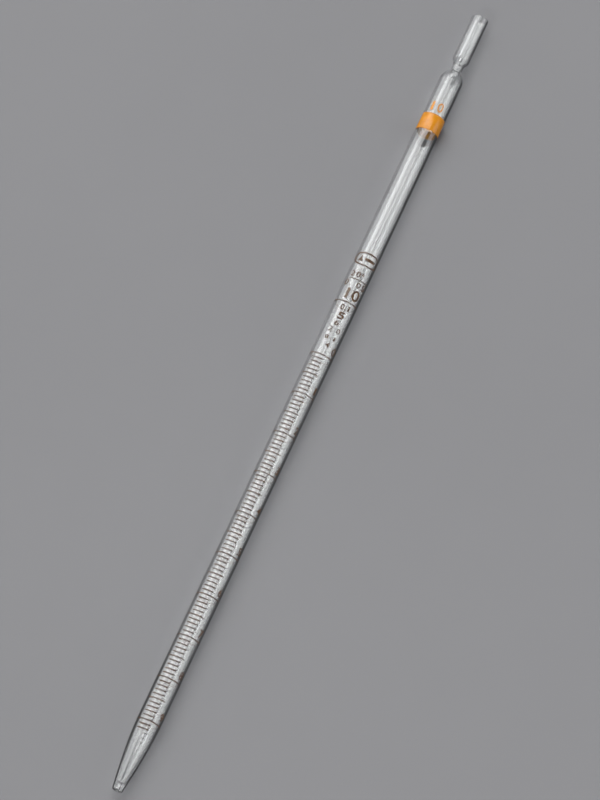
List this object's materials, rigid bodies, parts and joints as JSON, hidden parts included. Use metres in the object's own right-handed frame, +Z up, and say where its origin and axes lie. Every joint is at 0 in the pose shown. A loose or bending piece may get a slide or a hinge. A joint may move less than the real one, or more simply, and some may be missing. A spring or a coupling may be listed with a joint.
{
  "type": "graduated pipette",
  "caption": "Graduated glass pipette: tapered jet, straight scaled barrel, orange colour-code band, pinched neck and a narrower straight mouthpiece.",
  "frame": {"origin": "on the surface that the pipette lies on, under the middle of its length", "axes": "+Z up; +Y along the pipette, from the jet to the mouthpiece; +X to the right of the print's middle, which faces up and 8 degrees towards +X"},
  "size_m": [0.01, 0.36, 0.01],
  "materials": {
    "borosilicate_glass": "clear, fire-polished ends",
    "orange_enamel": "fired-on gloss enamel",
    "brown_stain": "fired-on amber-brown stain"
  },
  "bodies": {
    "root": {"batch_0": "brown_stain", "batch_1": "brown_stain", "batch_2": "brown_stain", "batch_4": "brown_stain", "batch_6": "brown_stain", "batch_8": "brown_stain", "code_figure_0": "orange_enamel", "code_figure_1": "orange_enamel", "colour_band": "orange_enamel", "division_0": "brown_stain", "division_1": "brown_stain", "division_point": "brown_stain", "emblem_bar": "brown_stain", "emblem_flask": "brown_stain", "emblem_frame": "brown_stain", "glass_tube": "borosilicate_glass", "half_line_0.5": "brown_stain", "half_line_1.5": "brown_stain", "half_line_2.5": "brown_stain", "half_line_3.5": "brown_stain", "half_line_4.5": "brown_stain", "half_line_5.5": "brown_stain", "half_line_6.5": "brown_stain", "half_line_7.5": "brown_stain", "half_line_8.5": "brown_stain", "ml_line_0": "brown_stain", "ml_line_1": "brown_stain", "ml_line_2": "brown_stain", "ml_line_3": "brown_stain", "ml_line_4": "brown_stain", "ml_line_5": "brown_stain", "ml_line_6": "brown_stain", "ml_line_7": "brown_stain", "ml_line_8": "brown_stain", "ml_line_9": "brown_stain", "numeral_0": "brown_stain", "numeral_1": "brown_stain", "numeral_2": "brown_stain", "numeral_3": "brown_stain", "numeral_4": "brown_stain", "numeral_5": "brown_stain", "numeral_6": "brown_stain", "numeral_7": "brown_stain", "numeral_8": "brown_stain", "numeral_9": "brown_stain", "row_line": "brown_stain", "temperature_0": "brown_stain", "temperature_2": "brown_stain", "temperature_degree": "brown_stain", "tolerance_0": "brown_stain", "tolerance_hundredths": "brown_stain", "tolerance_point": "brown_stain", "tolerance_tenths": "brown_stain", "volume_figure_0": "brown_stain", "volume_figure_1": "brown_stain", "volume_line": "brown_stain", "waiting_time_5": "brown_stain"}
  },
  "joints": []
}
